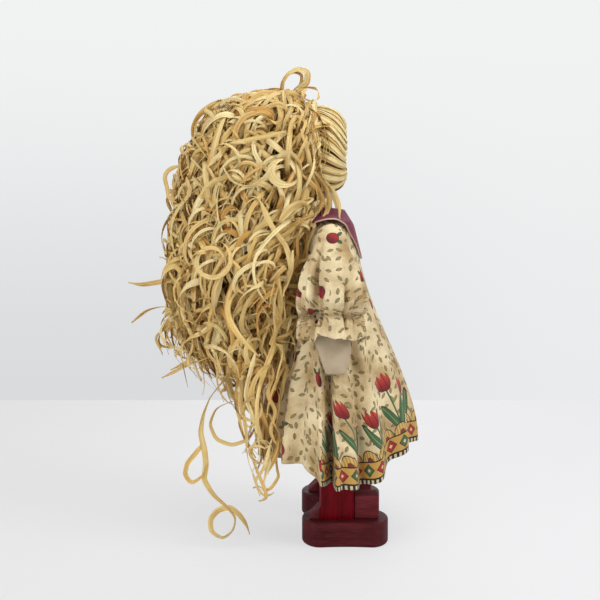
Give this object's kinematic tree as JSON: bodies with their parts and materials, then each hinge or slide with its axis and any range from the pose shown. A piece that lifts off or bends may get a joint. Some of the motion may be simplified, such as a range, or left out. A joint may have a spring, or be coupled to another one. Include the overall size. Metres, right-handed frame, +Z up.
{
  "type": "wooden doll",
  "caption": "Standing folk doll with painted wooden legs and feet, a gathered printed smock, a cloth collar, long curled raffia hair and flat wooden arms that swing at the shoulders.",
  "frame": {"origin": "on the floor under the middle of the whole doll's box, hair included", "axes": "+Z up, the doll faces -Y, its right side is -X"},
  "size_m": [0.164, 0.233, 0.3735],
  "materials": {
    "painted_wood": "burgundy paint, satin, brushed, grain showing",
    "bare_wood": "planed pine, unpainted",
    "flesh_paint": "flesh paint, matt",
    "steel": "zinc plated screw steel",
    "smock_cotton": "plain weave cotton with a tossed leaf print",
    "collar_cotton": "plain weave burgundy cotton",
    "thread": "doubled sewing thread",
    "raffia": "dry curled raffia, matt with a slight sheen"
  },
  "bodies": {
    "figure": {"right_foot": "painted_wood", "right_leg": "painted_wood", "right_toe_block": "painted_wood", "right_heel_wedge": "painted_wood", "right_foot_screw": "steel", "right_leg_dowel": "bare_wood", "right_shoulder_screw": "steel", "right_shoulder_washer": "steel", "left_foot": "painted_wood", "left_leg": "painted_wood", "left_toe_block": "painted_wood", "left_heel_wedge": "painted_wood", "left_foot_screw": "steel", "left_leg_dowel": "bare_wood", "left_shoulder_screw": "steel", "left_shoulder_washer": "steel", "torso": "bare_wood", "neck_dowel": "flesh_paint", "head": "flesh_paint", "dress": "smock_cotton", "collar": "collar_cotton", "hair_wrap": "raffia", "hair_hank_1": "raffia", "hair_hank_2": "raffia", "hair_hank_3": "raffia", "hair_hank_4": "raffia", "hair_hank_5": "raffia", "hair_hank_6": "raffia", "hair_hank_7": "raffia", "hair_hank_8": "raffia", "hair_hank_9": "raffia", "hair_crown_knot": "raffia", "hair_top_loop": "raffia", "hair_trailing_curl": "raffia", "hair_upper_wisp": "raffia", "hair_lower_wisp": "raffia"},
    "arm_right": {"right_arm": "flesh_paint", "right_sleeve": "smock_cotton", "right_wrist_tie": "thread"},
    "arm_left": {"left_arm": "flesh_paint", "left_sleeve": "smock_cotton", "left_wrist_tie": "thread"}
  },
  "joints": [
    {"name": "right_arm_swing", "type": "hinge", "parent": "figure", "child": "arm_right", "pos_m": [-0.0435, -0.04399, 0.2321], "axis": [-0.9744, 0, 0.225], "range_deg": [-10, 90]},
    {"name": "left_arm_swing", "type": "hinge", "parent": "figure", "child": "arm_left", "pos_m": [0.0435, -0.04399, 0.2321], "axis": [-0.9744, 0, -0.225], "range_deg": [-10, 90]}
  ]
}
